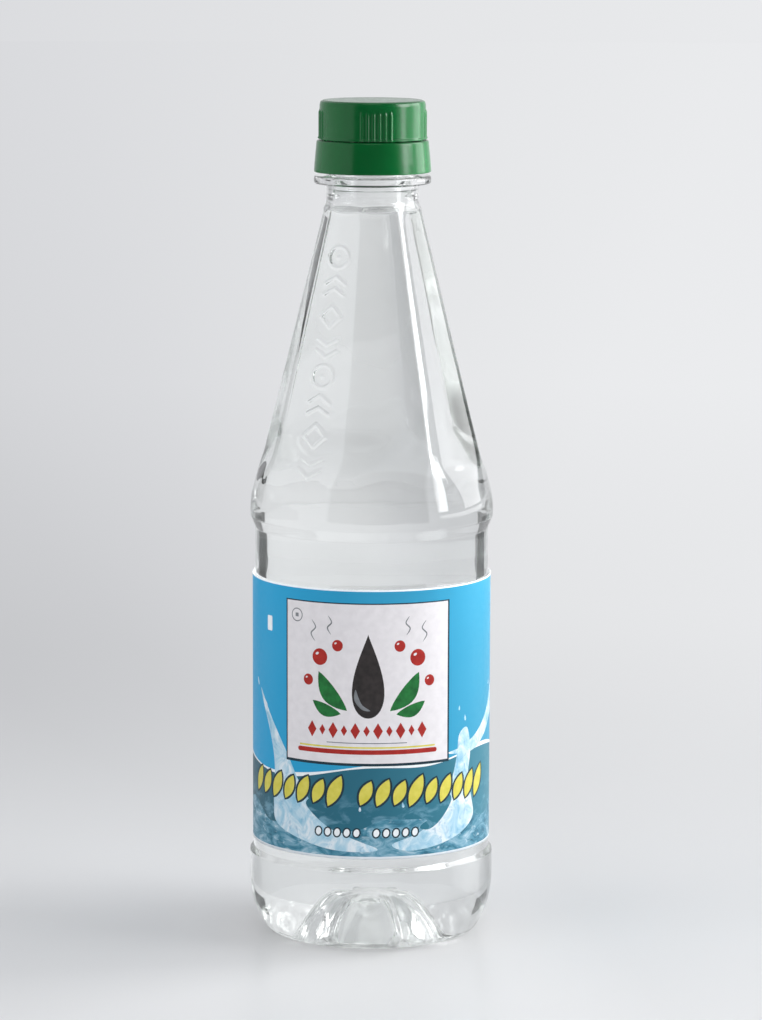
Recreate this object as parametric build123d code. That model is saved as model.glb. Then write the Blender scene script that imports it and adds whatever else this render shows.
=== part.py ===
from build123d import *
from math import atan2, cos, hypot, pi, radians, sin, tan
import os

# Clear PET vinegar bottle: round body, eight-sided tapering shoulder, 28 mm neck
# finish, green screw cap with its tamper band, wrap label, and the clear vinegar
# up to its level in the neck.
# Millimetres. +Z up, origin at the middle of the base ring on the ground, and the
# front of the label faces -Y. Angles go round from the front, positive towards +X.

# --- body -------------------------------------------------------------------
R_BASE = 34.3          # heel, the widest place
R_PANEL = 33.2         # wall under the label
R_WAIST = 32.7         # short plain band between label and bulge
R_BULGE = 34.05        # round bulge at the foot of the shoulder
Z_LEDGE = 23.0         # top of the heel, where it steps in to the label panel
Z_PANEL_TOP = 98.0     # from here the wall eases in to the waist
Z_WAIST_TOP = 115.2
Z_BULGE = 119.6        # middle of the bulge
WALL = 0.9

# --- base: a flat ring to stand on round a push-up ---------------------------
R_LAND_IN = 23.6
PUNT_H = 12.0
PUNT_R_TOP = 4.6
PUNT_SHOULDER = (10.4, 7.4)
PUNT_FOOT = (14.6, 1.3)
PUNT_RIM = (22.3, 0.8)
PUNT_RIBS = 6
PUNT_RIB_TURN = 24.0   # where the first groove points
PUNT_RIB_W = 2.4
PUNT_RIB_D = 0.4

# --- shoulder: a cone cut by eight flats --------------------------------------
CONE_SLOPE = 0.249     # change of ridge radius per mm of height
CONE_R0, CONE_Z0 = 30.7, 136.6
Z_CONE_TOP = 204.0
FLATS = 8
FLAT_RATIO = 0.955     # flat distance from the axis over the ridge radius
FLAT_TURN = 9.5        # where the first flat faces
Z_FLAT_END = 136.0     # below this the flat ramps out into the bulge
Z_RAMP_END = 129.5

# --- neck ---------------------------------------------------------------------
R_NECK = 12.8
R_FINISH = 12.5        # neck inside the cap
R_BORE = 10.87
R_RING = 16.3          # support ring
Z_RING = (211.3, 213.5)
Z_LIP = 232.6

# --- vinegar ------------------------------------------------------------------
Z_LEVEL = 203.8

# --- cap ----------------------------------------------------------------------
R_CAP = 14.75
R_CAP_IN = 13.7
R_CAP_LIP = 15.0       # small flare round its open edge
Z_CAP = (223.6, 234.4)
CAP_EDGE = 1.1
GRIP_GROUPS, GRIP_RIBS = 4, 6
GRIP_TURN, GRIP_PITCH = 4.1, 6.3
GRIP_W, GRIP_D = 0.85, 0.3
GRIP_Z = (223.8, 231.5)

# --- tamper band ----------------------------------------------------------------
R_BAND_TOP, R_BAND_FOOT = 15.55, 16.3
R_BAND_IN = 14.2
Z_BAND = (214.5, 223.35)
BRIDGES = 8
BRIDGE_W = 1.2

# --- label ----------------------------------------------------------------------
LABEL_T = 0.25
Z_LABEL = (26.8, 102.2)
LABEL_GAP = 56.0       # open strip down the back, degrees


def cone_r(z):
    return CONE_R0 + CONE_SLOPE * (CONE_Z0 - z)


def tangent_meet(z):
    """Height where the bulge's upright tangent meets the cone."""
    return CONE_Z0 - (z - CONE_R0) / CONE_SLOPE


# Outer half section as corners (radius, height, rounding), from the middle of the
# push-up round to the mouth.
OUTER = [
    (0.0, PUNT_H, 0),
    (PUNT_R_TOP, PUNT_H, 10),
    (*PUNT_SHOULDER, 14),
    (*PUNT_FOOT, 4),
    (*PUNT_RIM, 1.0),
    (R_LAND_IN, 0.0, 0.6),
    (28.96, 0.0, 3.7),
    (32.34, 4.56, 18.0),
    (R_BASE, 12.44, 34.0),
    (R_BASE, Z_LEDGE, 0.9),
    (R_PANEL, Z_LEDGE + 1.3, 0.7),
    (R_PANEL, Z_PANEL_TOP, 12.0),
    (R_WAIST, Z_PANEL_TOP + 5.0, 12.0),
    (R_WAIST, Z_WAIST_TOP, 1.0),
    (R_BULGE, Z_WAIST_TOP + 3.2, 2.0),
    (R_BULGE, tangent_meet(R_BULGE), 20.0),
    (cone_r(Z_CONE_TOP), Z_CONE_TOP, 3.0),
    (R_NECK, Z_CONE_TOP + 2.0, 4.0),
    (R_NECK, Z_RING[0], 0.5),
    (R_RING, Z_RING[0], 0.6),
    (R_RING, Z_RING[1], 0.6),
    (R_FINISH, Z_RING[1], 0.4),
    (R_FINISH, Z_LIP, 0.5),
    (R_BORE, Z_LIP, 0),
]
OUTER_SHELL = 17       # the first corners, whose wall is the even offset WALL


def offset_inwards(corners, d):
    """The same open section, d nearer to the liquid, with its roundings kept concentric."""
    moved = []
    for i, (r, z, f) in enumerate(corners):
        dirs = []
        if i > 0:
            dirs.append((r - corners[i - 1][0], z - corners[i - 1][1]))
        if i < len(corners) - 1:
            dirs.append((corners[i + 1][0] - r, corners[i + 1][1] - z))
        unit = [(a / hypot(a, b), b / hypot(a, b)) for a, b in dirs]
        normals = [(-b, a) for a, b in unit]
        nr, nz = sum(n[0] for n in normals), sum(n[1] for n in normals)
        length = hypot(nr, nz)
        nr, nz = nr / length, nz / length
        scale = d / (nr * normals[0][0] + nz * normals[0][1])
        left = 0.0
        if len(unit) == 2:
            left = unit[0][0] * unit[1][1] - unit[0][1] * unit[1][0]
        new_f = 0 if f == 0 else max(0.3, f - d if left > 0 else f + d)
        moved.append((max(0.0, r + nr * scale), z + nz * scale, new_f))
    return moved


def section(corners):
    """Closed half section in the XZ plane: the rounded corners and the axis."""
    pts = [(r, z) for r, z, f in corners]
    edges = FilletPolyline(*pts, radius=[f for r, z, f in corners[1:-1]])
    bottom, top = pts[0], pts[-1]
    ends = Polyline(top, (0, top[1]), bottom) if top[0] > 0 else Line(top, bottom)
    face = make_face(Wire(list(edges.edges()) + list(ends.edges())))
    return Plane.XZ * face


def turned(corners):
    return revolve(section(corners), Axis.Z)


def flats_cutter(inset):
    """Eight blocks outside the flats, moved inwards by inset."""
    top = Z_CONE_TOP + 4
    shift = inset * hypot(1, CONE_SLOPE)
    a_top = FLAT_RATIO * cone_r(top) - shift
    a_end = FLAT_RATIO * cone_r(Z_FLAT_END) - shift
    r_out = cone_r(Z_RAMP_END) + 0.25 - shift
    # the ramp carries on in a straight line well outside the body
    slope = (r_out - a_end) / (Z_FLAT_END - Z_RAMP_END)
    far = 48.0
    z_far = Z_FLAT_END - (far - a_end) / slope
    profile = Plane.XZ * make_face(
        Polyline((a_top, top), (a_end, Z_FLAT_END), (far, z_far), (far, top), close=True)
    )
    block = extrude(profile, 22, both=True)
    # angle 0 is the front, -Y
    return [
        Rot(0, 0, -90 + FLAT_TURN + k * 360 / FLATS) * block for k in range(FLATS)
    ]


def cut_all(solid, tools):
    for tool in tools:
        solid = solid - tool
    return solid


# --- inside of the bottle -------------------------------------------------------
inner_corners = offset_inwards(OUTER[:OUTER_SHELL], WALL)[:-1]
inner_top = cone_r(Z_CONE_TOP) - 1.15
inner_corners += [
    (inner_top, Z_CONE_TOP, 1.5),
    (11.9, Z_CONE_TOP + 2.0, 1.5),
    (R_BORE, Z_CONE_TOP + 6.0, 2.0),
    (R_BORE, Z_LIP + 2.0, 0),
]
inside = cut_all(turned(inner_corners), flats_cutter(WALL))

# --- bottle ---------------------------------------------------------------------
outer_corners = OUTER[:-1] + [(0.0, Z_LIP, 0)]
bottle = cut_all(turned(outer_corners), flats_cutter(0))

# radial grooves pressed into the side of the push-up from below
(r0, z0), (r1, z1) = PUNT_SHOULDER, PUNT_FOOT
steep = hypot(r1 - r0, z1 - z0)
along = ((r1 - r0) / steep, (z1 - z0) / steep)      # down the side
out = (-along[1], along[0])                         # into the wall
a = (r0 - 1.0 * along[0], z0 - 1.0 * along[1])
b = (r1 - 1.6 * along[0], z1 - 1.6 * along[1])
groove_face = Plane.XZ * make_face(
    Polyline(
        (a[0], -1), a,
        (a[0] + 0.6 * along[0] + PUNT_RIB_D * out[0], a[1] + 0.6 * along[1] + PUNT_RIB_D * out[1]),
        (b[0] - 0.6 * along[0] + PUNT_RIB_D * out[0], b[1] - 0.6 * along[1] + PUNT_RIB_D * out[1]),
        b, (b[0], -1), close=True,
    )
)
groove = extrude(groove_face, PUNT_RIB_W / 2, both=True)
bottle = cut_all(
    bottle,
    [Rot(0, 0, -90 + PUNT_RIB_TURN + k * 360 / PUNT_RIBS) * groove for k in range(PUNT_RIBS)],
)
bottle = bottle - inside

# --- vinegar --------------------------------------------------------------------
below_level = Pos(0, 0, Z_LEVEL / 2) * Box(90, 90, Z_LEVEL)
vinegar = inside & below_level

# --- cap ------------------------------------------------------------------------
cap_face = Plane.XZ * make_face(
    FilletPolyline(
        (0, Z_CAP[1]), (R_CAP, Z_CAP[1]), (R_CAP, Z_CAP[0] + 0.7), (R_CAP_LIP, Z_CAP[0] + 0.35),
        (R_CAP_LIP, Z_CAP[0]), (R_CAP_IN, Z_CAP[0]), (R_CAP_IN, Z_LIP), (0, Z_LIP),
        radius=[CAP_EDGE, 0.2, 0.1, 0.1, 0.15, 0.6],
    ).edges() + Line((0, Z_LIP), (0, Z_CAP[1])).edges()
)
cap = revolve(cap_face, Axis.Z)
rib_h = GRIP_Z[1] - GRIP_Z[0]
rib = Pos(R_CAP + GRIP_D / 2 - 0.25, 0, GRIP_Z[0] + rib_h / 2) * Box(
    GRIP_D + 0.5, GRIP_W, rib_h
)
rib = fillet(rib.edges().filter_by(Axis.Z).sort_by(Axis.X)[-2:], 0.25)
for g in range(GRIP_GROUPS):
    for k in range(GRIP_RIBS):
        turn = GRIP_TURN + g * 360 / GRIP_GROUPS + (k - (GRIP_RIBS - 1) / 2) * GRIP_PITCH
        cap = cap + Rot(0, 0, -90 + turn) * rib

# --- tamper band, with the little bridges that tie it to the cap ------------------
band_face = Plane.XZ * make_face(
    FilletPolyline(
        (R_BAND_IN, Z_BAND[0]), (R_BAND_FOOT, Z_BAND[0]), (R_BAND_TOP, Z_BAND[1]),
        (R_BAND_IN, Z_BAND[1]), radius=[0.3, 0.6],
    ).edges() + Line((R_BAND_IN, Z_BAND[1]), (R_BAND_IN, Z_BAND[0])).edges()
)
band = revolve(band_face, Axis.Z)
gap = Z_CAP[0] - Z_BAND[1]
bridge = Pos(14.45, 0, Z_BAND[1] - 0.2 + (gap + 0.2) / 2) * Box(0.5, BRIDGE_W, gap + 0.2)
for k in range(BRIDGES):
    band = band + Rot(0, 0, 22.5 + k * 360 / BRIDGES) * bridge

# --- label ----------------------------------------------------------------------
label_h = Z_LABEL[1] - Z_LABEL[0]
label_face = Plane.XZ * (
    Pos(R_PANEL + LABEL_T / 2, Z_LABEL[0] + label_h / 2) * Rectangle(LABEL_T, label_h)
)
label = revolve(label_face, Axis.Z, revolution_arc=360 - LABEL_GAP)
label = Rot(0, 0, 90 + LABEL_GAP / 2) * label

os.makedirs("parts", exist_ok=True)
for name, shape in {
    "bottle": bottle,
    "vinegar": vinegar,
    "cap": cap,
    "tamper_band": band,
    "label": label,
}.items():
    solids = shape.solids()
    print(name, "solids", len(solids), "volume", round(sum(s.volume for s in solids), 1))
    export_step(solids[0] if len(solids) == 1 else shape, f"parts/{name}.step")
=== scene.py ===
import math

import bmesh
import bpy
import numpy as np
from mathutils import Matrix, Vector
from mathutils.geometry import delaunay_2d_cdt


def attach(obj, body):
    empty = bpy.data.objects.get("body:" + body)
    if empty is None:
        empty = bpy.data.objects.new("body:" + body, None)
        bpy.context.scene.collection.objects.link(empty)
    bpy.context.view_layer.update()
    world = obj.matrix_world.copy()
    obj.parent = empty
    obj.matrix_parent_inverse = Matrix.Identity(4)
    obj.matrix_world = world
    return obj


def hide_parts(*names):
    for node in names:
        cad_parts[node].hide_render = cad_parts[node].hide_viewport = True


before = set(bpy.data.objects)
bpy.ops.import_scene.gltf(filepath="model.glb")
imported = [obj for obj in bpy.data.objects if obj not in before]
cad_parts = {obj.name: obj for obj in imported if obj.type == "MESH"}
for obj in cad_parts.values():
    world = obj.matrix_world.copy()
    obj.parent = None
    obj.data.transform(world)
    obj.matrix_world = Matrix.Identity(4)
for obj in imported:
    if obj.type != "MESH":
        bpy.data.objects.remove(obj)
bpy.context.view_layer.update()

MM = 0.001
RNG = np.random.default_rng(7)

# ----------------------------------------------------------------------------
# sizes, in millimetres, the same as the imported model's
# ----------------------------------------------------------------------------
R_BASE, R_PANEL, R_WAIST, R_BULGE = 34.3, 33.2, 32.7, 34.05
Z_LEDGE, Z_PANEL_TOP, Z_WAIST_TOP = 23.0, 98.0, 115.2
WALL = 0.9
INTO_WALL = 0.25
PUNT_H, PUNT_R_TOP, R_LAND_IN = 12.0, 4.6, 23.6
PUNT_RIB_TURN = 24.0
CONE_SLOPE, CONE_R0, CONE_Z0, Z_CONE_TOP = 0.249, 30.7, 136.6, 204.0
FLATS, FLAT_RATIO, FLAT_TURN = 8, 0.955, 9.5
Z_FLAT_END, Z_RAMP_END = 136.0, 129.5
R_NECK, R_FINISH, R_BORE, R_RING = 12.8, 12.5, 10.87, 16.3
Z_RING, Z_LIP, Z_LEVEL = (211.3, 213.5), 232.6, 203.8


def cone_r(z):
    return CONE_R0 + CONE_SLOPE * (CONE_Z0 - z)


def tangent_meet(r):
    return CONE_Z0 - (r - CONE_R0) / CONE_SLOPE


OUTER = [
    (0.0, PUNT_H, 0),
    (PUNT_R_TOP, PUNT_H, 10),
    (10.4, 7.4, 14),
    (14.6, 1.3, 4),
    (22.3, 0.8, 1.0),
    (R_LAND_IN, 0.0, 0.6),
    (28.96, 0.0, 3.7),
    (32.34, 4.56, 18.0),
    (R_BASE, 12.44, 34.0),
    (R_BASE, Z_LEDGE, 0.9),
    (R_PANEL, Z_LEDGE + 1.3, 0.7),
    (R_PANEL, Z_PANEL_TOP, 12.0),
    (R_WAIST, Z_PANEL_TOP + 5.0, 12.0),
    (R_WAIST, Z_WAIST_TOP, 1.0),
    (R_BULGE, Z_WAIST_TOP + 3.2, 2.0),
    (R_BULGE, tangent_meet(R_BULGE), 20.0),
    (cone_r(Z_CONE_TOP), Z_CONE_TOP, 3.0),
    (R_NECK, Z_CONE_TOP + 2.0, 4.0),
    (R_NECK, Z_RING[0], 0.5),
    (R_RING, Z_RING[0], 0.6),
    (R_RING, Z_RING[1], 0.6),
    (R_FINISH, Z_RING[1], 0.4),
    (R_FINISH, Z_LIP, 0.5),
    (R_BORE + 0.5, Z_LIP, 0.3),
]


def offset_inwards(corners, d):
    moved = []
    for i, (r, z, f) in enumerate(corners):
        dirs = []
        if i > 0:
            dirs.append((r - corners[i - 1][0], z - corners[i - 1][1]))
        if i < len(corners) - 1:
            dirs.append((corners[i + 1][0] - r, corners[i + 1][1] - z))
        unit = [(a / math.hypot(a, b), b / math.hypot(a, b)) for a, b in dirs]
        normals = [(-b, a) for a, b in unit]
        nr, nz = sum(n[0] for n in normals), sum(n[1] for n in normals)
        length = math.hypot(nr, nz)
        nr, nz = nr / length, nz / length
        scale = d / (nr * normals[0][0] + nz * normals[0][1])
        left = 0.0
        if len(unit) == 2:
            left = unit[0][0] * unit[1][1] - unit[0][1] * unit[1][0]
        new_f = 0 if f == 0 else max(0.3, f - d if left > 0 else f + d)
        moved.append((max(0.0, r + nr * scale), z + nz * scale, new_f))
    return moved


def inner_section(d):
    corners = offset_inwards(OUTER[:17], d)[:-1]
    corners += [
        (cone_r(Z_CONE_TOP) - 0.25 - d, Z_CONE_TOP, 1.5),
        (11.0 + 0.9 + (WALL - d), Z_CONE_TOP + 2.0, 1.5),
        (R_BORE + (WALL - d), Z_CONE_TOP + 6.0, 2.0),
    ]
    return corners


def rounded_line(corners, step=1.2, arc=9.0):
    """Points along a line of rounded corners: arcs every few degrees, straight runs every step."""
    pts = []

    def run_to(p):
        if not pts:
            pts.append(p)
            return
        q = pts[-1]
        length = math.hypot(p[0] - q[0], p[1] - q[1])
        s = step((p[1] + q[1]) / 2) if callable(step) else step
        n = max(1, int(math.ceil(length / s)))
        for k in range(1, n + 1):
            pts.append((q[0] + (p[0] - q[0]) * k / n, q[1] + (p[1] - q[1]) * k / n))

    for i, (r, z, f) in enumerate(corners):
        if i in (0, len(corners) - 1) or f <= 0:
            run_to((r, z))
            continue
        a, b = corners[i - 1], corners[i + 1]
        ua = np.array([a[0] - r, a[1] - z]); ua /= np.linalg.norm(ua)
        ub = np.array([b[0] - r, b[1] - z]); ub /= np.linalg.norm(ub)
        ang = math.acos(np.clip(ua @ ub, -1, 1))
        if ang > math.pi - 1e-3:
            run_to((r, z))
            continue
        t = f / math.tan(ang / 2)
        p0 = np.array([r, z]) + ua * t
        p1 = np.array([r, z]) + ub * t
        mid = ua + ub
        mid /= np.linalg.norm(mid)
        c = np.array([r, z]) + mid * (f / math.sin(ang / 2))
        a0 = math.atan2(*(p0 - c)[::-1])
        a1 = math.atan2(*(p1 - c)[::-1])
        da = (a1 - a0 + math.pi) % (2 * math.pi) - math.pi
        run_to(tuple(p0))
        n = max(2, int(math.ceil(abs(math.degrees(da)) / arc)),
                int(math.ceil(abs(da) * f / (step((z)) if callable(step) else step))))
        for k in range(1, n + 1):
            th = a0 + da * k / n
            pts.append((c[0] + f * math.cos(th), c[1] + f * math.sin(th)))
    out = [pts[0]]
    for p in pts[1:]:
        if math.hypot(p[0] - out[-1][0], p[1] - out[-1][1]) > 1e-3:
            out.append(p)
    return out


def smin(a, b, k):
    h = np.maximum(k - np.abs(a - b), 0) / k
    return np.minimum(a, b) - h * h * k / 4


def flat_r(z, phi, inset):
    """How far out the flat lies at each height and angle (radians, from the front)."""
    shift = inset * math.hypot(1, CONE_SLOPE)
    a_end = FLAT_RATIO * cone_r(Z_FLAT_END) - shift
    r_out = cone_r(Z_RAMP_END) + 0.25 - shift
    slope = (r_out - a_end) / (Z_FLAT_END - Z_RAMP_END)
    up = FLAT_RATIO * cone_r(z) - shift
    ramp = a_end + (Z_FLAT_END - z) * slope
    k = 0.5
    a = np.maximum(up, ramp) + (np.maximum(k - np.abs(up - ramp), 0) / k) ** 2 * k / 4
    step = 2 * math.pi / FLATS
    d = (phi - math.radians(FLAT_TURN) + step / 2) % step - step / 2
    return a / np.cos(d)


def punt_ribs(r, phi, depth):
    """Six radial creases pressed up into the push-up."""
    step = 2 * math.pi / 6
    d = (phi - math.radians(PUNT_RIB_TURN) + step / 2) % step - step / 2
    across = np.exp(-((r * np.sin(d)) / 1.35) ** 2)
    along = np.clip((r - 5.0) / 3.0, 0, 1) * np.clip((22.6 - r) / 2.2, 0, 1)
    along = along * along * (3 - 2 * along)
    return depth * across * along


# relief down the left front flat: a plain column of outlined shapes
RELIEF_PHI = math.radians(-34.5)
RELIEF_Z = (131.8, 195.4)


def loop_distance(u, v, loop, closed=True):
    """Distance from each point to a line of points."""
    best = np.full(u.shape, 1e9)
    n = len(loop)
    for k in range(n if closed else n - 1):
        (x0, y0), (x1, y1) = loop[k], loop[(k + 1) % n]
        dx, dy = x1 - x0, y1 - y0
        t = np.clip(((u - x0) * dx + (v - y0) * dy) / (dx * dx + dy * dy), 0, 1)
        best = np.minimum(best, np.hypot(u - x0 - t * dx, v - y0 - t * dy))
    return best


def relief(z, phi):
    """Height of the relief: rings, lozenges and chevrons, larger towards the foot as the flat widens."""
    u = (phi - RELIEF_PHI) * 0.955 * cone_r(z)
    h = np.zeros(np.broadcast(z, phi).shape)
    n = 8
    for i in range(n):
        zc = RELIEF_Z[1] - 3.6 - i * (RELIEF_Z[1] - RELIEF_Z[0] - 7.2) / (n - 1)
        w = 3.15 + 0.06 * i
        t = 2.85 + 0.04 * i
        x, y = u, z - zc
        if i % 4 == 0:
            d = np.abs(np.hypot(x / w, y / t) - 1) * min(w, t)
            d = np.minimum(d, np.hypot(x, y) * 0.8)
        elif i % 4 == 1:
            d = np.minimum(loop_distance(x, y, [(-w, 0.9), (0, t), (w, 0.9)], False),
                           loop_distance(x, y, [(-w, -2.1), (0, -0.3), (w, -2.1)], False))
        elif i % 4 == 2:
            d = loop_distance(x, y, [(-w, 0), (0, t), (w, 0), (0, -t)])
        else:
            d = np.minimum(loop_distance(x, y, [(-w, -0.9), (0, -t), (w, -0.9)], False),
                           loop_distance(x, y, [(-w, 2.1), (0, 0.3), (w, 2.1)], False))
        h = np.maximum(h, np.exp(-((d / 0.44) ** 2)))
    return 0.32 * h


def grid_mesh(name, rings, close_start=False, close_end=False, closed_loop=False):
    """Lofts rings (each n x 3, mm) into one mesh; a ring of one point is a pole."""
    verts, start = [], []
    for r in rings:
        start.append(len(verts))
        verts.extend((np.asarray(r) * MM).tolist())
    faces = []
    for i in range(len(rings) - (0 if closed_loop else 1)):
        a, b = rings[i], rings[(i + 1) % len(rings)]
        sa, sb = start[i], start[(i + 1) % len(rings)]
        na, nb = len(a), len(b)
        if na == 1:
            faces += [(sa, sb + (k + 1) % nb, sb + k) for k in range(nb)]
        elif nb == 1:
            faces += [(sa + k, sa + (k + 1) % na, sb) for k in range(na)]
        else:
            faces += [(sa + k, sa + (k + 1) % na, sb + (k + 1) % nb, sb + k) for k in range(na)]
    me = bpy.data.meshes.new(name)
    me.from_pydata(verts, [], faces)
    me.update()
    ob = bpy.data.objects.new(name, me)
    bpy.context.scene.collection.objects.link(ob)
    bm = bmesh.new()
    bm.from_mesh(me)
    bmesh.ops.recalc_face_normals(bm, faces=bm.faces)
    bm.to_mesh(me)
    bm.free()
    me.polygons.foreach_set("use_smooth", [True] * len(me.polygons))
    return ob


def ring(r, z, phi):
    r = np.broadcast_to(r, phi.shape)
    z = np.broadcast_to(z, phi.shape)
    return np.stack([r * np.sin(phi), -r * np.cos(phi), z], axis=1)


# ----------------------------------------------------------------------------
# materials
# ----------------------------------------------------------------------------
def new_mat(name):
    m = bpy.data.materials.new(name)
    m.use_nodes = True
    nt = m.node_tree
    nt.nodes.clear()
    out = nt.nodes.new("ShaderNodeOutputMaterial")
    bsdf = nt.nodes.new("ShaderNodeBsdfPrincipled")
    nt.links.new(bsdf.outputs["BSDF"], out.inputs["Surface"])
    return m, nt, bsdf, out


def node(nt, kind, **props):
    n = nt.nodes.new(kind)
    for k, v in props.items():
        setattr(n, k, v)
    return n


def noise(nt, coord, scale, detail=3.0, rough=0.5, stretch=(1, 1, 1), distortion=0.0):
    mp = node(nt, "ShaderNodeMapping")
    mp.inputs["Scale"].default_value = stretch
    nt.links.new(coord, mp.inputs["Vector"])
    n = node(nt, "ShaderNodeTexNoise")
    n.inputs["Scale"].default_value = scale
    n.inputs["Detail"].default_value = detail
    n.inputs["Roughness"].default_value = rough
    n.inputs["Distortion"].default_value = distortion
    nt.links.new(mp.outputs["Vector"], n.inputs["Vector"])
    return n.outputs["Fac"]


def ramp(nt, fac, stops, interpolation="LINEAR"):
    r = node(nt, "ShaderNodeValToRGB")
    r.color_ramp.interpolation = interpolation
    e = r.color_ramp.elements
    while len(e) > 1:
        e.remove(e[-1])
    e[0].position, e[0].color = stops[0][0], (*stops[0][1], 1)
    for p, c in stops[1:]:
        x = e.new(p)
        x.color = (*c, 1)
    nt.links.new(fac, r.inputs["Fac"])
    return r.outputs["Color"]


def maprange(nt, value, a, b, c, d, smooth=False):
    n = node(nt, "ShaderNodeMapRange")
    if smooth:
        n.interpolation_type = "SMOOTHSTEP"
    nt.links.new(value, n.inputs["Value"])
    for k, v in zip(("From Min", "From Max", "To Min", "To Max"), (a, b, c, d)):
        n.inputs[k].default_value = v
    return n.outputs["Result"]


def bump(nt, bsdf, height, strength, distance, normal=None):
    b = node(nt, "ShaderNodeBump")
    b.inputs["Strength"].default_value = strength
    b.inputs["Distance"].default_value = distance
    nt.links.new(height, b.inputs["Height"])
    if normal is not None:
        nt.links.new(normal, b.inputs["Normal"])
    nt.links.new(b.outputs["Normal"], bsdf.inputs["Normal"])
    return b.outputs["Normal"]


def lin(r, g, b):
    """Linear colour from 0-255 display values."""
    def f(c):
        c /= 255
        return c / 12.92 if c <= 0.04045 else ((c + 0.055) / 1.055) ** 2.4
    return (f(r), f(g), f(b))


def pet_material():
    m, nt, b, _ = new_mat("clear_pet")
    b.inputs["Base Color"].default_value = (0.985, 0.992, 0.99, 1)
    b.inputs["Transmission Weight"].default_value = 1.0
    b.inputs["IOR"].default_value = 1.57
    b.inputs["Roughness"].default_value = 0.0
    tc = node(nt, "ShaderNodeTexCoord")
    broad = noise(nt, tc.outputs["Object"], 55, 2.0, 0.45, (1, 1, 0.35))
    bump(nt, b, broad, 0.22, 0.0012)
    return m


def vinegar_material():
    m, nt, b, _ = new_mat("clear_vinegar")
    b.inputs["Transmission Weight"].default_value = 1.0
    b.inputs["IOR"].default_value = 1.34
    b.inputs["Roughness"].default_value = 0.0
    tc = node(nt, "ShaderNodeTexCoord")
    n = noise(nt, tc.outputs["Object"], 30, 2.0)
    col = ramp(nt, n, [(0.3, (0.985, 0.99, 0.985)), (0.7, (0.998, 0.998, 0.995))])
    nt.links.new(col, b.inputs["Base Color"])
    return m


def cap_material():
    m, nt, b, _ = new_mat("green_polypropylene")
    tc = node(nt, "ShaderNodeTexCoord")
    n = noise(nt, tc.outputs["Object"], 220, 4.0, 0.6)
    col = ramp(nt, n, [(0.25, (0.0008, 0.080, 0.0170)), (0.75, (0.0012, 0.092, 0.0200))])
    nt.links.new(col, b.inputs["Base Color"])
    rough = maprange(nt, noise(nt, tc.outputs["Object"], 600, 3.0), 0.3, 0.7, 0.15, 0.22)
    nt.links.new(rough, b.inputs["Roughness"])
    b.inputs["IOR"].default_value = 1.5
    b.inputs["Coat Weight"].default_value = 0.0
    fine = noise(nt, tc.outputs["Object"], 1800, 2.0)
    bump(nt, b, fine, 0.08, 0.0001)
    return m


# ----------------------------------------------------------------------------
# bottle shell: outside, mouth and inside as one closed skin
# ----------------------------------------------------------------------------
# columns closer together at the ridges between the flats
PER_FLAT = 24
N_PHI = FLATS * PER_FLAT
_t = np.linspace(0, 1, PER_FLAT, endpoint=False)
_t = _t - 0.11 * np.sin(2 * math.pi * _t)
PHI = np.concatenate([np.radians(FLAT_TURN - 22.5 + 45 * k + 45 * _t) for k in range(-4, 4)])


def wobble(z, phi, amount):
    """The uneven wall of blown plastic: slow waves round and up the inside."""
    return amount * (
        0.5 * np.sin(3 * phi + 0.021 * z + 0.4)
        + 0.35 * np.sin(5 * phi - 0.034 * z + 1.7)
        + 0.3 * np.sin(0.11 * z + 2 * phi + 2.2)
        + 0.22 * np.sin(11 * phi + 0.05 * z)
    )


def skin(points, phi, inset, waves=0.0, rib=1.6):
    rings = []
    for r, z in points:
        if r < 1e-4:
            rings.append(np.array([[0.0, 0.0, z]]))
            continue
        rr = np.full(phi.shape, float(r))
        zz = np.full(phi.shape, float(z))
        if 127.0 < z < 206.0 and r > 12.9 - inset:
            fade = np.clip((z - 203.2) / 2.0, 0, 1)
            f = flat_r(z, phi, inset) + fade * 1.2
            rr = smin(rr, f, 1.2)
        if z < PUNT_H + 2 and r < 22.5:
            zz = zz + punt_ribs(r, phi, rib)
        if waves and z > 3 and r > 15:
            ease = np.clip((z - 3) / 20, 0, 1) * np.clip((203 - z) / 15, 0, 1)
            rr = rr + wobble(z, phi, waves) * ease
        rings.append(ring(rr, zz, phi))
    return rings


def out_step(z):
    if 127 < z < 204:
        return 0.85
    if z > 214.4:
        return 4.5
    if 28 < z < 98:
        return 5.0
    return 1.6


def in_step(z):
    if z > 204:
        return 3.5
    return 3.0 if 28 < z < 98 else 2.0


outer_pts = rounded_line(OUTER, out_step, arc=11.0)
inner_pts = rounded_line(inner_section(WALL) + [(R_BORE, Z_LIP - 0.4, 0)], in_step, arc=14.0)
outer_rings = skin(outer_pts, PHI, 0.0, rib=1.6)
inner_rings = skin(inner_pts, PHI, WALL, waves=0.16, rib=1.6)
shell = grid_mesh("bottle_shell", outer_rings + inner_rings[::-1])
# a finer mesh over the relief's strip, and the relief raised on it
bm = bmesh.new()
bm.from_mesh(shell.data)


outer_count = sum(len(r) for r in outer_rings)


def on_strip(v):
    x, y, z = v.co / MM
    if v.index >= outer_count or not RELIEF_Z[0] - 1.0 < z < RELIEF_Z[1] + 1.2:
        return False
    return abs(math.atan2(x, -y) - RELIEF_PHI) * math.hypot(x, y) < 5.0


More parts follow.
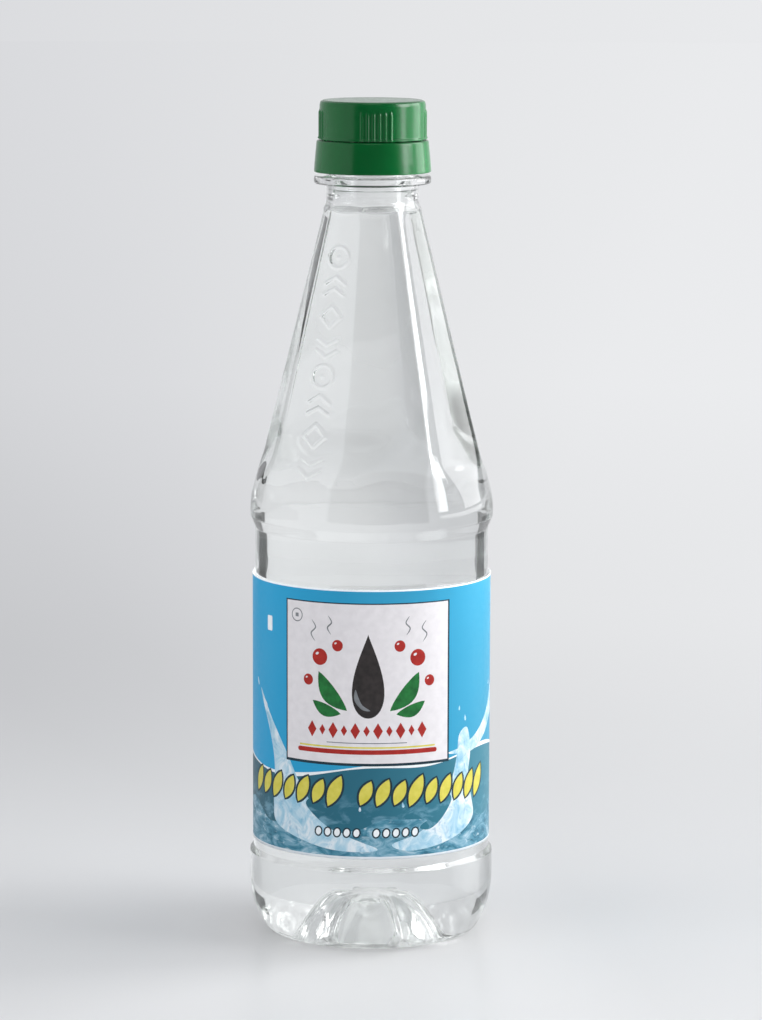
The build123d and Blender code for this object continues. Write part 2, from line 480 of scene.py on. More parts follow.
bm.verts.index_update()
edges = {e for f in bm.faces if all(on_strip(v) for v in f.verts) for e in f.edges}
on_edges = sorted({v.index for e in edges for v in e.verts})
uncut = len(bm.verts)
bmesh.ops.subdivide_edges(bm, edges=sorted(edges, key=lambda e: e.index), cuts=3, use_grid_fill=True)
bm.verts.ensure_lookup_table()
strip_verts = [bm.verts[i] for i in on_edges] + [bm.verts[i] for i in range(uncut, len(bm.verts))]
xyz = np.array([v.co / MM for v in strip_verts])
up = relief(xyz[:, 2], np.arctan2(xyz[:, 0], -xyz[:, 1]))
for v, h in zip(strip_verts, up):
    if h > 1e-4:
        r = math.hypot(v.co.x, v.co.y)
        v.co.x += v.co.x / r * h * MM
        v.co.y += v.co.y / r * h * MM
bm.to_mesh(shell.data)
bm.free()
shell.data.polygons.foreach_set("use_smooth", [True] * len(shell.data.polygons))
shell.data.materials.append(pet_material())
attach(shell, "root")
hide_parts("bottle")
print("shell tris", sum(len(f.vertices) - 2 for f in shell.data.polygons), "rings", len(outer_rings), len(inner_rings))

# ----------------------------------------------------------------------------
# vinegar: reaches just into the wall, with a small meniscus at the neck
# ----------------------------------------------------------------------------
D_LIQ = WALL - INTO_WALL
liq_all = rounded_line(inner_section(D_LIQ), in_step, arc=14.0)
liq_pts = [p for p in liq_all if p[1] < Z_LEVEL + 0.5 or p[0] < 20]
liq_pts = [p for p in liq_pts if p[1] < Z_LEVEL + 0.5]
liq_phi = PHI[::2]
liq_rings = skin(liq_pts, liq_phi, D_LIQ, waves=0.16, rib=1.6)
r_edge = liq_pts[-1][0]
for k in range(1, 9):
    r = (r_edge - 0.05) * (1 - k / 9.0)
    rise = 0.9 * math.exp(-(r_edge - r) / 1.1)
    liq_rings.append(ring(r, Z_LEVEL - 0.4 + rise, liq_phi))
liq_rings.append(np.array([[0.0, 0.0, Z_LEVEL - 0.4]]))
liquid = grid_mesh("vinegar_body", liq_rings)
liquid.data.materials.append(vinegar_material())
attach(liquid, "root")
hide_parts("vinegar")

# ----------------------------------------------------------------------------
# cap and tamper band
# ----------------------------------------------------------------------------
CAP_PHI = np.linspace(0, 2 * math.pi, 720, endpoint=False) - math.pi
R_CAP, R_CAP_LIP, Z_CAP = 14.75, 15.0, (223.6, 234.4)


def grip(z, phi):
    """Four groups of six small upright ribs, rounded at both ends."""
    deg = np.degrees(phi)
    h = np.zeros(phi.shape)
    for g in range(4):
        for k in range(6):
            c = 4.1 + 90 * g + (k - 2.5) * 6.3
            d = (deg - c + 180) % 360 - 180
            u = np.radians(d) * R_CAP
            dz = max(0.0, z - 231.1)
            q = np.hypot(u, dz) / 0.44
            h = np.maximum(h, np.sqrt(np.clip(1 - q * q, 0, 1)))
    return 0.3 * h


cap_line = rounded_line(
    [(0, 234.30, 0), (12.0, 234.34, 3.0), (13.75, 234.38, 0.5), (14.5, 234.0, 0.5), (R_CAP, 233.1, 1.2),
     (R_CAP, 224.3, 0.2), (R_CAP_LIP, 223.95, 0.12), (R_CAP_LIP, 223.6, 0.1), (13.9, 223.6, 0.1),
     (13.7, 223.9, 0.2), (13.7, 232.6, 0.4), (0, 232.6, 0)],
    lambda z: 0.5 if z < 232.9 else 0.9, arc=12.0,
)
rings = []
for r, z in cap_line:
    if r < 1e-4:
        rings.append(np.array([[0, 0, z]]))
    elif r > 14.6 and 223.7 < z < 231.7:
        rings.append(ring(r + grip(z, CAP_PHI), z, CAP_PHI))
    else:
        rings.append(ring(r, z, CAP_PHI))
cap = grid_mesh("screw_cap", rings)
green = cap_material()
cap.data.materials.append(green)
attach(cap, "root")
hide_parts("cap")

band_line = rounded_line(
    [(14.2, 214.5, 0), (16.3, 214.5, 0.3), (16.12, 217.2, 2.0), (15.55, 223.35, 0.6), (14.2, 223.35, 0.1)],
    0.7, arc=12.0,
)
band_phi = CAP_PHI[::3]
band = grid_mesh("tamper_ring", [ring(r, z, band_phi) for r, z in band_line] , closed_loop=True)
bm = bmesh.new()
bm.from_mesh(band.data)
for k in range(8):
    a = math.radians(22.5 + 45 * k)
    made = bmesh.ops.create_cube(bm, size=1.0)["verts"]
    for v in made:
        x, y, z = v.co
        x, y, z = 14.45 + 0.5 * x, 1.2 * y, 223.4 + 0.38 * z
        v.co = Vector((x * math.cos(a) - y * math.sin(a), x * math.sin(a) + y * math.cos(a), z)) * MM
bm.to_mesh(band.data)
bm.free()
band.data.materials.append(green)
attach(band, "root")
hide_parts("tamper_band")

# ----------------------------------------------------------------------------
# label: drawn flat, u round the bottle from the front and v up, in millimetres,
# as plain fields and shapes, then wrapped round the wall
# ----------------------------------------------------------------------------
R_LABEL, LABEL_T = 33.45, 0.12
Z_LABEL = (26.8, 102.2)
U_END = math.radians(152.0) * R_LABEL
V0, V1 = Z_LABEL


def smooth_loop(ctrl, per=6):
    """A closed curve through the control points."""
    n = len(ctrl)
    out = []
    for i in range(n):
        p0, p1, p2, p3 = (np.array(ctrl[(i + k - 1) % n], float) for k in range(4))
        for t in np.linspace(0, 1, per, endpoint=False):
            out.append(tuple(0.5 * ((2 * p1) + (p2 - p0) * t + (2 * p0 - 5 * p1 + 4 * p2 - p3) * t * t
                                    + (3 * p1 - p0 - 3 * p2 + p3) * t ** 3)))
    return out


def blob(cu, cv, ru, rv, turn=0.0, n=28, power=2.0):
    a = math.radians(turn)
    out = []
    for k in range(n):
        t = 2 * math.pi * k / n
        c, s = math.cos(t), math.sin(t)
        x = ru * math.copysign(abs(c) ** (2 / power), c)
        y = rv * math.copysign(abs(s) ** (2 / power), s)
        out.append((cu + x * math.cos(a) - y * math.sin(a), cv + x * math.sin(a) + y * math.cos(a)))
    return out


def box_loop(u0, v0, u1, v1, r=0.0, n=5):
    if r <= 0:
        return [(u0, v0), (u1, v0), (u1, v1), (u0, v1)]
    out = []
    for cu, cv, a in ((u1 - r, v0 + r, -90), (u1 - r, v1 - r, 0), (u0 + r, v1 - r, 90), (u0 + r, v0 + r, 180)):
        for k in range(n + 1):
            t = math.radians(a + 90 * k / n)
            out.append((cu + r * math.cos(t), cv + r * math.sin(t)))
    return out


def leaf(cu, cv, length, width, turn, bend=0.0, n=12):
    """A pointed leaf about its middle line."""
    a = math.radians(turn)
    side = []
    for k in range(n + 1):
        t = k / n
        w = width / 2 * math.sin(math.pi * t) ** 0.85
        x = (t - 0.5) * length
        y = bend * math.sin(math.pi * t)
        side.append((x, y, w))
    pts = [(x, y + w) for x, y, w in side] + [(x, y - w) for x, y, w in side[-2:0:-1]]
    return [(cu + x * math.cos(a) - y * math.sin(a), cv + x * math.sin(a) + y * math.cos(a)) for x, y in pts]


def drop(cu, cv, w, h, turn=0.0, n=26):
    a = math.radians(turn)
    out = []
    for k in range(n):
        t = 2 * math.pi * k / n
        x = w / 2 * math.sin(t) * math.sin(t / 2) ** 1.3
        y = h / 2 * math.cos(t)
        out.append((cu + x * math.cos(a) - y * math.sin(a), cv + x * math.sin(a) + y * math.cos(a)))
    return out


def strip(line, half, taper=True):
    """A ribbon along a line of points, tapering to its ends."""
    p = np.array(line, float)
    t = np.gradient(p, axis=0)
    nrm = np.stack([-t[:, 1], t[:, 0]], 1)
    nrm /= np.linalg.norm(nrm, axis=1)[:, None]
    s = np.linspace(0, 1, len(p))
    w = half * (np.sin(math.pi * np.clip(s, 0.02, 0.98)) ** 0.6 if taper else np.ones(len(p)))
    a, b = p + nrm * w[:, None], p - nrm * w[:, None]
    return [tuple(q) for q in a] + [tuple(q) for q in b[::-1]]


def through(ctrl, per=8):
    n = len(ctrl)
    out = []
    for i in range(n - 1):
        p0 = np.array(ctrl[max(i - 1, 0)], float)
        p1, p2 = np.array(ctrl[i], float), np.array(ctrl[i + 1], float)
        p3 = np.array(ctrl[min(i + 2, n - 1)], float)
        for t in np.linspace(0, 1, per, endpoint=(i == n - 2)):
            out.append(tuple(0.5 * ((2 * p1) + (p2 - p0) * t + (2 * p0 - 5 * p1 + 4 * p2 - p3) * t * t
                                    + (3 * p1 - p0 - 3 * p2 + p3) * t ** 3)))
    return out


def grown(loop, d):
    """The same loop pushed out by d, for an outline."""
    p = np.array(loop, float)
    area = 0.5 * np.sum(p[:, 0] * np.roll(p[:, 1], -1) - np.roll(p[:, 0], -1) * p[:, 1])
    t = np.roll(p, -1, 0) - np.roll(p, 1, 0)
    t /= np.maximum(np.linalg.norm(t, axis=1), 1e-9)[:, None]
    nrm = np.stack([t[:, 1], -t[:, 0]], 1) * (1 if area > 0 else -1)
    return [tuple(q) for q in p + nrm * d]


INKS = ["sky", "deep", "foam", "pool", "panel", "outline", "red", "green", "yellow", "charcoal", "white", "grey", "edge"]
shapes = []  # later ones print over earlier ones


def ink(name, loop):
    shapes.append((INKS.index(name), loop))


# water below a wavy line, all the way round
wave = []
for k in range(161):
    u = -U_END + 2 * U_END * k / 160
    v = 51.0 + 1.6 * math.sin(u / 15.5 + 0.6) + 0.9 * math.sin(u / 7.3 + 2.0) + 3.6 / (1 + math.exp(-(u - 22) / 5))
    wave.append((u, v))
ink("deep", [(-U_END, V0), *[(-U_END + 2 * U_END * k / 40, V0) for k in range(1, 40)], (U_END, V0), *wave[::-1]])
ink("white", [(u, v + 0.55 + 0.35 * math.sin(u / 5.1)) for u, v in wave] + [(u, v - 0.25) for u, v in wave[::-1]])
# pale pool along the foot
top = []
for k in range(161):
    u = -U_END + 2 * U_END * k / 160
    v = 37.2 + 1.7 * math.sin(u / 9.0 + 1.1) + 1.2 * math.sin(u / 4.1) + 0.6 * math.sin(u / 2.3 + 0.7) - 2.6 * math.exp(-((u - 1) / 9) ** 2)
    top.append((u, v))
ink("pool", [(-U_END, V0), *[(-U_END + 2 * U_END * k / 40, V0) for k in range(1, 40)], (U_END, V0), *top[::-1]])
# two rising arms of splashing water, with loose drops
ink("foam", smooth_loop([(2, 29.5), (-7, 33.5), (-15, 39.5), (-21, 47), (-25.5, 54.5), (-31, 62), (-39, 71.5), (-34, 61.5),
                         (-31.5, 54), (-31, 47), (-31.5, 40), (-30, 34.5), (-20, 31), (-9, 29)]))
ink("foam", smooth_loop([(6, 31), (14, 34), (20, 39), (24, 46), (26.5, 54), (27.5, 60), (31, 61.5), (32.5, 55), (31.5, 48),
                         (33, 42), (34, 36), (28, 32), (18, 29.5), (10, 29)]))
ink("foam", smooth_loop([(23, 55.2), (29, 56.6), (36, 59.4), (43, 64.2), (49, 70.5), (52, 76.5), (49.5, 68.5), (55, 66), (47, 61.8), (41, 57.8), (33, 54.6)]))
ink("deep", smooth_loop([(-6, 34.5), (-12, 39), (-16, 43.5), (-19, 41.5), (-15, 37.5), (-10, 34.5)]))
ink("deep", smooth_loop([(14, 35.5), (19, 39), (22.5, 44), (24.5, 42), (21, 37.2), (17, 34.6)]))
for u, v, w, h, t in ((-41, 73, 1.3, 2.6, 25), (-35.5, 67.5, 1.1, 1.9, 30), (-29, 58.5, 1.0, 1.5, 10), (52.5, 79.5, 1.2, 2.4, -25),
                      (46, 72, 1.0, 1.6, -20), (30, 64.5, 1.0, 1.9, 8), (27.5, 67.5, 0.8, 1.4, -5), (-3, 41, 0.9, 1.5, 0),
                      (9, 42, 1.0, 1.6, 12), (3, 44.2, 0.7, 1.1, 0)):
    ink("foam", drop(u, v, w, h, t))

# white panel with its thin dark frame
PU, PV = (-25.5, 22.9), (53.8, 98.2)
ink("outline", box_loop(PU[0] - 0.45, PV[0] - 0.75, PU[1] + 0.55, PV[1] + 0.35))
ink("panel", box_loop(PU[0], PV[0], PU[1], PV[1]))

# in the panel: a plain still life of drops, leaves and berries, and two rules
ink("charcoal", drop(-0.8, 78.2, 12.4, 23.5, 0, 40))
ink("grey", smooth_loop([(-4.3, 74.5), (-4.6, 71.6), (-2.6, 69.0), (-0.2, 68.6), (-2.4, 70.2), (-3.5, 72.4)]))
ink("green", leaf(-10.8, 73.8, 13.5, 4.6, 128, 1.3))
ink("green", leaf(9.4, 73.8, 13.5, 4.6, 52, -1.3))
ink("green", leaf(-12.6, 69.2, 9.0, 3.4, 158, 0.9))
ink("green", leaf(11.2, 69.2, 9.0, 3.4, 22, -0.9))
for u, v, r in ((-14.6, 83.2, 2.25), (13.2, 83.2, 2.25), (-9.4, 86.6, 1.55), (8.0, 86.6, 1.55), (-18.2, 76.6, 1.5), (16.8, 76.6, 1.5)):
    ink("red", blob(u, v, r, r * 1.04))
    ink("panel", blob(u - r * 0.35, v + r * 0.4, r * 0.24, r * 0.16, 30, 12))
for s in (-1, 1):
    ink("grey", strip(through([(-0.7 + s * 15.4, 87.5), (-0.7 + s * 16.6, 89.6), (-0.7 + s * 15.2, 91.4), (-0.7 + s * 16.4, 93.4)]), 0.2))
    ink("grey", strip(through([(-0.7 + s * 10.6, 89.6), (-0.7 + s * 11.6, 91.4), (-0.7 + s * 10.4, 93.0), (-0.7 + s * 11.4, 94.8)]), 0.2))
# a row of red lozenges between two rules
for k in range(11):
    u = -1.2 + (k - 5) * 3.15
    big = 1.0 if k % 2 == 0 else 0.66
    ink("red", [(u - 1.35 * big, 62.9), (u, 62.9 - 2.3 * big), (u + 1.35 * big, 62.9), (u, 62.9 + 2.3 * big)])
ink("red", box_loop(-21.6, 56.3, 19.2, 57.6, 0.6))
ink("yellow", box_loop(-21.0, 58.0, 18.6, 58.45, 0.2))
ink("grey", box_loop(-12.5, 59.35, 10.1, 59.6))
# small ring in the corner and a plain white tab beside the panel
ink("grey", blob(-22.0, 94.3, 1.9, 1.9, 0, 30))
ink("panel", blob(-22.0, 94.3, 1.62, 1.62, 0, 30))
ink("grey", blob(-22.0, 94.3, 0.75, 0.75, 45, 4))
ink("white", box_loop(-34.6, 88.4, -32.2, 92.6, 0.4))

# band of slanted yellow leaves with dark edges, in two groups
def leaves(centres, v, length, width):
    for u, s in centres:
        shape = leaf(u, v + (s - 1) * 1.6, length * s, width * (0.55 + 0.45 * s), 66, 0.0, 10)
        ink("outline", grown(shape, 0.62))
    for u, s in centres:
        shape = leaf(u, v + (s - 1) * 1.6, length * s, width * (0.55 + 0.45 * s), 66, 0.0, 10)
        ink("yellow", shape)


leaves([(-39.6 + 4.9 * k, 1.0 if k == 6 else (0.78 if k % 2 else 0.86)) for k in range(7)], 45.8, 9.6, 3.7)
leaves([(-1.4 + 4.75 * k, 1.0 if k in (3, 8) else (0.86 if k % 2 else 0.78)) for k in range(9)], 45.8, 9.6, 3.7)
# small white dots with dark rims
for k in range(11):
    u = -1.2 + (k - 5) * 2.75
    if k == 5:
        continue
    ink("outline", blob(u, 34.2, 1.22, 1.5, -12, 18))
for k in range(11):
    u = -1.2 + (k - 5) * 2.75
    if k == 5:
        continue
    ink("white", blob(u, 34.2, 0.8, 1.08, -12, 18))
# two plain columns of pale rules towards the back
for s in (-1, 1):
    for k in range(9):
        w = (9.5, 8.2, 9.5, 7.4, 9.5, 8.8, 6.2, 9.5, 5.0)[k]
        u0 = s * 68.0 - 5.0
        ink("white", box_loop(u0, 91.0 - k * 3.4, u0 + w, 91.9 - k * 3.4, 0.4, 3))
# painted highlight: pale bluish-white bands along the top and foot edges of the film
ink("edge", box_loop(-U_END, V0, U_END, V0 + 0.75))
ink("edge", box_loop(-U_END, V1 - 0.42, U_END, V1))

verts2, edges2 = [], []


def add_loop(loop, closed=True):
    s = len(verts2)
    for u, v in loop:
        verts2.append(Vector((min(max(u, -U_END), U_END), min(max(v, V0), V1))))
    n = len(loop)
    for k in range(n if closed else n - 1):
        edges2.append((s + k, s + (k + 1) % n))


add_loop(box_loop(-U_END, V0, U_END, V1))
for _, loop in shapes:
    add_loop(loop)
for k in range(1, 122):
    u = -U_END + 2 * U_END * k / 122
    add_loop([(u, V0), (u, V1)], closed=False)
v2, e2, f2, _, _, _ = delaunay_2d_cdt(verts2, edges2, [], 0, 1e-5, False)
v2 = np.array([(p[0], p[1]) for p in v2])
tri = np.array([f for f in f2 if len(f) == 3])
cent = v2[tri].mean(axis=1)
keep = (np.abs(cent[:, 0]) < U_END) & (cent[:, 1] > V0) & (cent[:, 1] < V1)
area2 = np.cross(v2[tri[:, 1]] - v2[tri[:, 0]], v2[tri[:, 2]] - v2[tri[:, 0]])
keep &= np.abs(area2) > 1e-9
tri, cent = tri[keep], cent[keep]


def inside(loop, pts):
    p = np.array(loop)
    res = np.zeros(len(pts), bool)
    lo, hi = p.min(0), p.max(0)
    cand = np.where((pts[:, 0] > lo[0]) & (pts[:, 0] < hi[0]) & (pts[:, 1] > lo[1]) & (pts[:, 1] < hi[1]))[0]
    x, y = pts[cand, 0], pts[cand, 1]
    hit = np.zeros(len(cand), bool)
    q = np.roll(p, -1, 0)
    for (x0, y0), (x1, y1) in zip(p, q):
        if y0 == y1:
            continue
        c = (y0 > y) != (y1 > y)
        hit ^= c & (x < (x1 - x0) * (y - y0) / (y1 - y0) + x0)
    res[cand] = hit
    return res


colour = np.zeros(len(tri), int)
for idx, loop in shapes:
    colour[inside(loop, cent)] = idx

lab_me = bpy.data.meshes.new("wrap_label")
ang = v2[:, 0] / R_LABEL
co = np.stack([R_LABEL * np.sin(ang), -R_LABEL * np.cos(ang), v2[:, 1]], 1) * MM
area2 = np.cross(v2[tri[:, 1]] - v2[tri[:, 0]], v2[tri[:, 2]] - v2[tri[:, 0]])
tri = np.where((area2 > 0)[:, None], tri, tri[:, ::-1])
lab_me.from_pydata(co.tolist(), [], tri.tolist())
lab_me.update()
lab_me.polygons.foreach_set("material_index", colour.tolist())
lab_me.polygons.foreach_set("use_smooth", [True] * len(tri))
uvl = lab_me.uv_layers.new(name="print")
lv = np.zeros(len(lab_me.loops), int)
lab_me.loops.foreach_get("vertex_index", lv)
uvl.data.foreach_set("uv", (v2[lv] / 100.0).ravel().tolist())
label = bpy.data.objects.new("wrap_label", lab_me)
bpy.context.scene.collection.objects.link(label)
bm = bmesh.new()
bm.from_mesh(lab_me)
loose = [v for v in bm.verts if not v.link_faces]
bmesh.ops.delete(bm, geom=loose, context="VERTS")
bm.to_mesh(lab_me)
bm.free()
print("label tris", len(lab_me.polygons))


def film(name, build, rough=0.4):
    m, nt, b, _ = new_mat("print_" + name)
    uv = node(nt, "ShaderNodeUVMap")
    uv.uv_map = "print"
    build(nt, b, uv.outputs["UV"])
    b.inputs["IOR"].default_value = 1.38
    r = maprange(nt, noise(nt, uv.outputs["UV"], 60, 3.0), 0.3, 0.7, rough - 0.04, rough + 0.05)
    nt.links.new(r, b.inputs["Roughness"])
    h = noise(nt, uv.outputs["UV"], 14, 2.0, 0.4, (1, 0.35, 1))
    bump(nt, b, h, 0.12, 0.0006)
    return m


def plain(c0, c1):
    def build(nt, b, uv):
        n = noise(nt, uv, 45, 3.0)
        nt.links.new(ramp(nt, n, [(0.3, c0), (0.7, c1)]), b.inputs["Base Color"])
    return build


def across(nt, uv, a, c, lo, hi):
    """0 to 1 along u (a to c, mm)."""
    s = node(nt, "ShaderNodeSeparateXYZ")
    nt.links.new(uv, s.inputs["Vector"])
    return maprange(nt, s.outputs["X"], a / 100, c / 100, lo, hi), s


def mix(nt, fac, a, b):
    m = node(nt, "ShaderNodeMix", data_type="RGBA")
    if isinstance(fac, (int, float)):
        m.inputs[0].default_value = fac
    else:
        nt.links.new(fac, m.inputs[0])
    for sock, v in ((m.inputs[6], a), (m.inputs[7], b)):
        if isinstance(v, tuple):
            sock.default_value = (*v, 1)
        else:
            nt.links.new(v, sock)
    return m.outputs[2]


def sky(nt, b, uv):
    f, s = across(nt, uv, -45, 45, 0, 1)
    n = noise(nt, uv, 3.0, 2.0)
    base = ramp(nt, f, [(0.0, (0.010, 0.375, 0.700)), (0.4, (0.018, 0.330, 0.590)), (1.0, (0.032, 0.315, 0.500))])
    glow = mix(nt, maprange(nt, n, 0.35, 0.7, 0.0, 0.22), base, (0.07, 0.40, 0.62))
    nt.links.new(glow, b.inputs["Base Color"])


def deep(nt, b, uv):
    f, s = across(nt, uv, -45, 45, 0, 1)
    base = ramp(nt, f, [(0.0, lin(40, 96, 114)), (0.5, lin(36, 106, 128)), (1.0, lin(62, 132, 152))])
    n = noise(nt, uv, 13, 4.0, 0.6, (1, 1.7, 1), 0.6)
    low = maprange(nt, s.outputs["Y"], 0.30, 0.46, 0.9, 0.0)
    wisps = node(nt, "ShaderNodeMath", operation="MULTIPLY")
    nt.links.new(maprange(nt, n, 0.48, 0.68, 0, 1, True), wisps.inputs[0])
    nt.links.new(low, wisps.inputs[1])
    nt.links.new(mix(nt, wisps.outputs[0], base, lin(150, 200, 224)), b.inputs["Base Color"])


def foam(nt, b, uv):
    n = noise(nt, uv, 17, 5.0, 0.62, (1, 0.8, 1), 1.2)
    m = noise(nt, uv, 48, 3.0, 0.6, (1, 0.7, 1), 0.8)
    base = ramp(nt, n, [(0.30, lin(120, 184, 214)), (0.46, lin(178, 214, 232)), (0.6, lin(226, 238, 246)), (0.8, lin(240, 246, 250))])
    out = mix(nt, maprange(nt, m, 0.55, 0.72, 0.0, 0.5, True), base, lin(96, 160, 196))
    nt.links.new(out, b.inputs["Base Color"])


def pool(nt, b, uv):
    n = noise(nt, uv, 16, 5.0, 0.62, (0.75, 1.5, 1), 1.6)
    m = noise(nt, uv, 40, 3.0, 0.55, (0.7, 1.6, 1), 1.0)
    f, s = across(nt, uv, -45, 45, 0, 1)
    a = ramp(nt, n, [(0.32, lin(36, 98, 122)), (0.45, lin(70, 136, 160)), (0.56, lin(122, 170, 192)), (0.7, lin(182, 208, 220))])
    out = mix(nt, maprange(nt, m, 0.58, 0.72, 0.0, 0.6, True), a, lin(220, 236, 244))
    nt.links.new(out, b.inputs["Base Color"])


BUILD = {
    "sky": film("sky", sky), "deep": film("deep", deep), "foam": film("foam", foam), "pool": film("pool", pool),
    "panel": film("panel", plain(lin(226, 223, 226), lin(234, 231, 234))),
    "outline": film("outline", plain(lin(18, 44, 56), lin(26, 58, 72))),
    "red": film("red", plain(lin(160, 32, 27), lin(180, 46, 37))),
    "green": film("green", plain(lin(20, 92, 44), lin(34, 128, 60))),
    "yellow": film("yellow", plain(lin(210, 201, 74), lin(224, 214, 98))),
    "charcoal": film("charcoal", plain(lin(40, 37, 37), lin(58, 52, 52))),
    "white": film("white", plain(lin(236, 242, 246), lin(246, 250, 252))),
    "grey": film("grey", plain(lin(108, 112, 116), lin(132, 136, 140))),
    # edge: the painted highlight along the film's top and foot edges
    "edge": film("edge", plain(lin(232, 240, 248), lin(242, 248, 252))),
}
for k in INKS:
    lab_me.materials.append(BUILD[k])
# painted light: the inside of the film glows faintly, standing for the light that comes through the label
glowing_back_film = film("back", plain(lin(226, 230, 232), lin(236, 238, 240)), 0.45)
back_bsdf = glowing_back_film.node_tree.nodes["Principled BSDF"]
back_bsdf.inputs["Emission Color"].default_value = (0.86, 0.88, 0.9, 1)
back_bsdf.inputs["Emission Strength"].default_value = 0.22
lab_me.materials.append(glowing_back_film)
sol = label.modifiers.new("film", "SOLIDIFY")
sol.thickness = LABEL_T * MM
sol.offset = -1.0
sol.material_offset = len(INKS)
sol.material_offset_rim = len(INKS)
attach(label, "root")
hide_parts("label")

# ----------------------------------------------------------------------------
# stage: pale floor that runs out into a pale glowing surround, with painted light and shade
# ----------------------------------------------------------------------------
def surround(nt, coord):
    """The colour of the surround round the bottle, a little darker to the left than to the right: the world's light,
    and the painted light and shade of the far floor's glow.
    """
    flat = node(nt, "ShaderNodeVectorMath", operation="MULTIPLY")
    flat.inputs[1].default_value = (1, 1, 0)
    nt.links.new(coord, flat.inputs[0])
    unit = node(nt, "ShaderNodeVectorMath", operation="NORMALIZE")
    nt.links.new(flat.outputs[0], unit.inputs[0])
    s = node(nt, "ShaderNodeSeparateXYZ")
    nt.links.new(unit.outputs[0], s.inputs[0])
    fac = maprange(nt, s.outputs["X"], -1, 1, 0, 1)
    return ramp(nt, fac, [(0.32, lin(202, 203, 206)), (0.40, lin(210, 211, 214)), (0.45, lin(218, 219, 222)),
                          (0.5, lin(228, 229, 231)), (0.55, lin(234, 235, 237)), (0.70, lin(240, 241, 243))])


def stage_mat():
    m = bpy.data.materials.new("stage_floor")
    m.use_nodes = True
    nt = m.node_tree
    nt.nodes.clear()
    out = nt.nodes.new("ShaderNodeOutputMaterial")
    b = nt.nodes.new("ShaderNodeBsdfPrincipled")
    b.inputs["Roughness"].default_value = 0.32
    b.inputs["IOR"].default_value = 1.4
    tc = node(nt, "ShaderNodeTexCoord")
    n = noise(nt, tc.outputs["Object"], 3.0, 3.0)
    shade = node(nt, "ShaderNodeVectorMath", operation="SCALE")
    nt.links.new(ramp(nt, n, [(0.3, (0.61, 0.617, 0.625)), (0.7, (0.64, 0.645, 0.65))]), shade.inputs[0])
    nt.links.new(shade.outputs[0], b.inputs["Base Color"])
    # painted light: from 5 cm out, and fully by 55 cm, the floor glows in the surround's colour instead of being lit,
    # darker to the left and a little darker nearer in as painted shade
    e = nt.nodes.new("ShaderNodeEmission")
    nt.links.new(surround(nt, tc.outputs["Object"]), e.inputs["Color"])
    ln = node(nt, "ShaderNodeVectorMath", operation="LENGTH")
    nt.links.new(tc.outputs["Object"], ln.inputs[0])
    nt.links.new(maprange(nt, ln.outputs["Value"], 0.45, 1.3, 0.93, 1.0), e.inputs["Strength"])
    # painted contact shadow: the ground is darker right under the bottle
    nt.links.new(maprange(nt, ln.outputs["Value"], 0.016, 0.036, 0.75, 1.0, True), shade.inputs["Scale"])
    mx = nt.nodes.new("ShaderNodeMixShader")
    nt.links.new(maprange(nt, ln.outputs["Value"], 0.05, 0.55, 0, 1, True), mx.inputs["Fac"])
    nt.links.new(b.outputs["BSDF"], mx.inputs[1])
    nt.links.new(e.outputs["Emission"], mx.inputs[2])
    nt.links.new(mx.outputs[0], out.inputs["Surface"])
    return m


bm = bmesh.new()
bmesh.ops.create_circle(bm, cap_ends=True, segments=96, radius=6.0)
fl_me = bpy.data.meshes.new("floor")
bm.to_mesh(fl_me)
bm.free()
floor = bpy.data.objects.new("floor", fl_me)
floor.location = (0, 0, -0.00005)
bpy.context.scene.collection.objects.link(floor)
fl_me.materials.append(stage_mat())

world = bpy.data.worlds.new("studio")
bpy.context.scene.world = world
world.use_nodes = True
bg = world.node_tree.nodes["Background"]
wtc = node(world.node_tree, "ShaderNodeTexCoord")
world.node_tree.links.new(surround(world.node_tree, wtc.outputs["Generated"]), bg.inputs["Color"])
bg.inputs["Strength"].default_value = 1.0


def flag(name, az, width, height, dist, low=0.0, tone=0.0):
    """A dark card at an angle round from the front, facing the bottle and unseen by the camera (metres)."""
    a = math.radians(az)
    me = bpy.data.meshes.new(name)
    w = width / 2
    me.from_pydata([(-w, 0, low), (w, 0, low), (w, 0, low + height), (-w, 0, low + height)], [], [(0, 1, 2, 3)])
    ob = bpy.data.objects.new(name, me)
    ob.location = (dist * math.sin(a), -dist * math.cos(a), 0)
    ob.rotation_euler = (0, 0, a)
    bpy.context.scene.collection.objects.link(ob)
    m = bpy.data.materials.new(name)
    m.use_nodes = True
    nt = m.node_tree
    nt.nodes.clear()
    out = nt.nodes.new("ShaderNodeOutputMaterial")
    e = nt.nodes.new("ShaderNodeEmission")
    e.inputs["Color"].default_value = (tone, tone, tone, 1)
    nt.links.new(e.outputs[0], out.inputs["Surface"])
    me.materials.append(m)
    ob.visible_camera = False
    ob.visible_diffuse = False
    ob.visible_shadow = False
    return ob


def area(name, az, el, dist, size, power, colour=(1, 1, 1), target=(0, 0, 0.12), clear=True):
    a, e = math.radians(az), math.radians(el)
    t = Vector(target)
    d = Vector((math.sin(a) * math.cos(e), -math.cos(a) * math.cos(e), math.sin(e)))
    li = bpy.data.lights.new(name, "AREA")
    li.shape = "RECTANGLE"
    li.size, li.size_y = size
    li.energy = power
    li.color = colour
    ob = bpy.data.objects.new(name, li)
    ob.location = t + d * dist
    ob.rotation_euler = d.to_track_quat("Z", "Y").to_euler()
    ob.visible_camera = False
    ob.visible_transmission = clear
    bpy.context.scene.collection.objects.link(ob)
    return ob


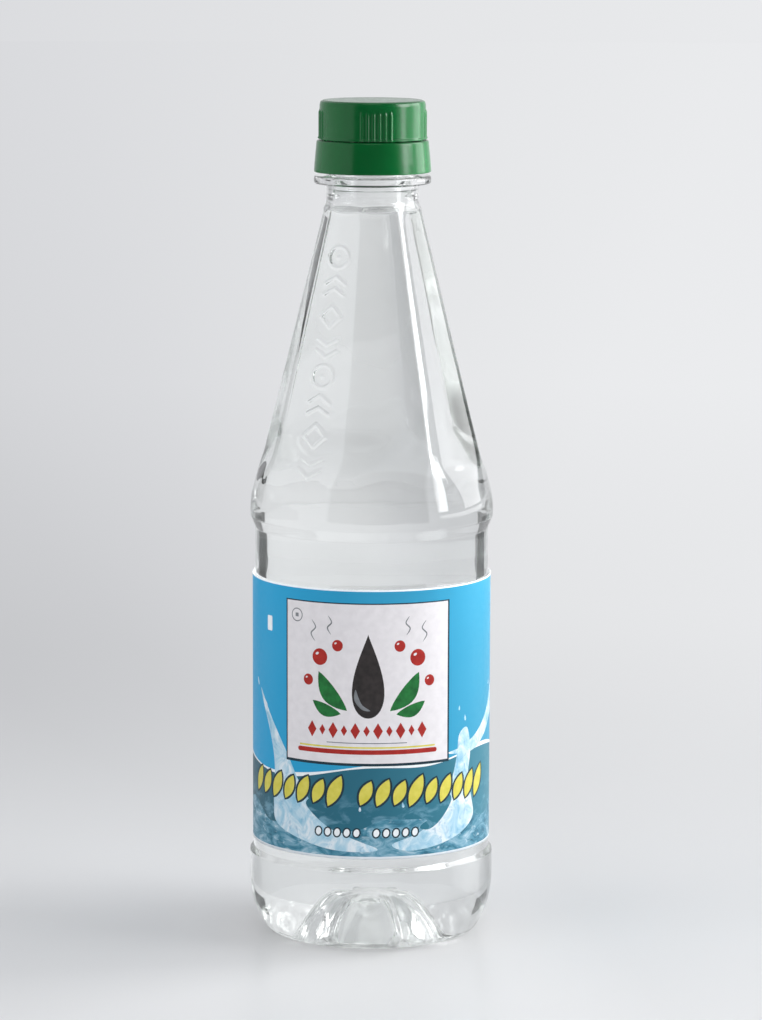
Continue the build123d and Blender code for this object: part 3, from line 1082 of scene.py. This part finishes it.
flag("front_flag", 0, 1.6, 1.1, 0.95, 0.0, 0.02)
flag("front_flag_right", 46, 0.25, 1.1, 0.98, 0.0, 0.05)
flag("back_flag_left", -133.5, 0.114, 0.050, 0.34, 0.022, 0.05)
flag("back_flag_right", 133.5, 0.114, 0.050, 0.34, 0.022, 0.05)
flag("back_flag_left_high", -133.5, 0.13, 0.085, 0.34, 0.115, 0.02)
flag("back_flag_right_high", 133.5, 0.10, 0.06, 0.34, 0.13, 0.15)
top = flag("top_flag", 0, 1.3, 1.15, 0.9, 0.0, 0.04)
top.location = (0, -0.92, 1.1)
top.rotation_euler = (math.radians(-90), 0, 0)
top.visible_transmission = False
area("key", 74, 31, 0.44, (0.19, 0.22), 0.71)
area("key_foot", 69, 10.5, 0.44, (0.09, 0.11), 0.12)
low_light = area("key_low", 96, -2.7, 0.9, (1.04, 0.058), 0.6)
cap_only = bpy.data.collections.new("cap_only")
for piece in (cap, band):
    cap_only.objects.link(piece)
low_light.light_linking.receiver_collection = cap_only
area("key_low_soft", 96, -2.7, 0.9, (1.04, 0.058), 0.25)
high = area("key_high", 96, 29, 1.02, (1.04, 0.32), 2.3, clear=False)
high.visible_diffuse = False
area("key_soft", 112, 20, 0.9, (0.45, 0.60), 2.4, clear=False)
area("front_top", 0, 52, 0.9, (0.5, 0.12), 0.5, clear=False)
# high behind on both sides, seen only through the bottle: the bright bars in the push-up
for side in (-1, 1):
    rim = area("rim_%s" % ("right" if side > 0 else "left"), side * 140, 50, 0.9, (0.26, 0.30), 0.75, target=(0, 0, 0.02))
    rim.visible_glossy = False
    rim.visible_diffuse = False
left = area("left_fill", -60, 40, 1.1, (0.6, 0.6), 1.6, clear=False)
left.visible_glossy = False
# two small lamps low beside the cap, aimed up at it, so that its sides glow as thin plastic does
for side, power in ((1, 0.36), (-1, 0.09)):
    lamp = area("cap_lamp_%s" % ("right" if side > 0 else "left"), side * 98, -16, 0.125, (0.06, 0.06), power,
                target=(0, 0, 0.227), clear=False)
    lamp.visible_glossy = False

# the clear parts let the lamps' light through, so only the label and cap cast a full shadow
shell.visible_shadow = False
liquid.visible_shadow = False

# ----------------------------------------------------------------------------
# camera
# ----------------------------------------------------------------------------
cam_data = bpy.data.cameras.new("camera")
cam_data.sensor_width = 36.0
cam_data.lens = 4400.0 / 1020.0 * 36.0
cam = bpy.data.objects.new("camera", cam_data)
cam.location = (0.0026, -1.222, 0.3015)
pitch, roll = math.radians(8.47), math.radians(0.16)
look = Vector((0, math.cos(pitch), -math.sin(pitch)))
q = look.to_track_quat("-Z", "Y")
cam.rotation_mode = "QUATERNION"
from mathutils import Quaternion
cam.rotation_quaternion = q @ Quaternion((0, 0, 1), roll)
bpy.context.scene.collection.objects.link(cam)
bpy.context.scene.camera = cam
sc = bpy.context.scene
sc.view_settings.view_transform = "Standard"
sc.view_settings.look = "None"
sc.cycles.max_bounces = 80
sc.cycles.transmission_bounces = 80
sc.cycles.glossy_bounces = 40
sc.cycles.transparent_max_bounces = 12
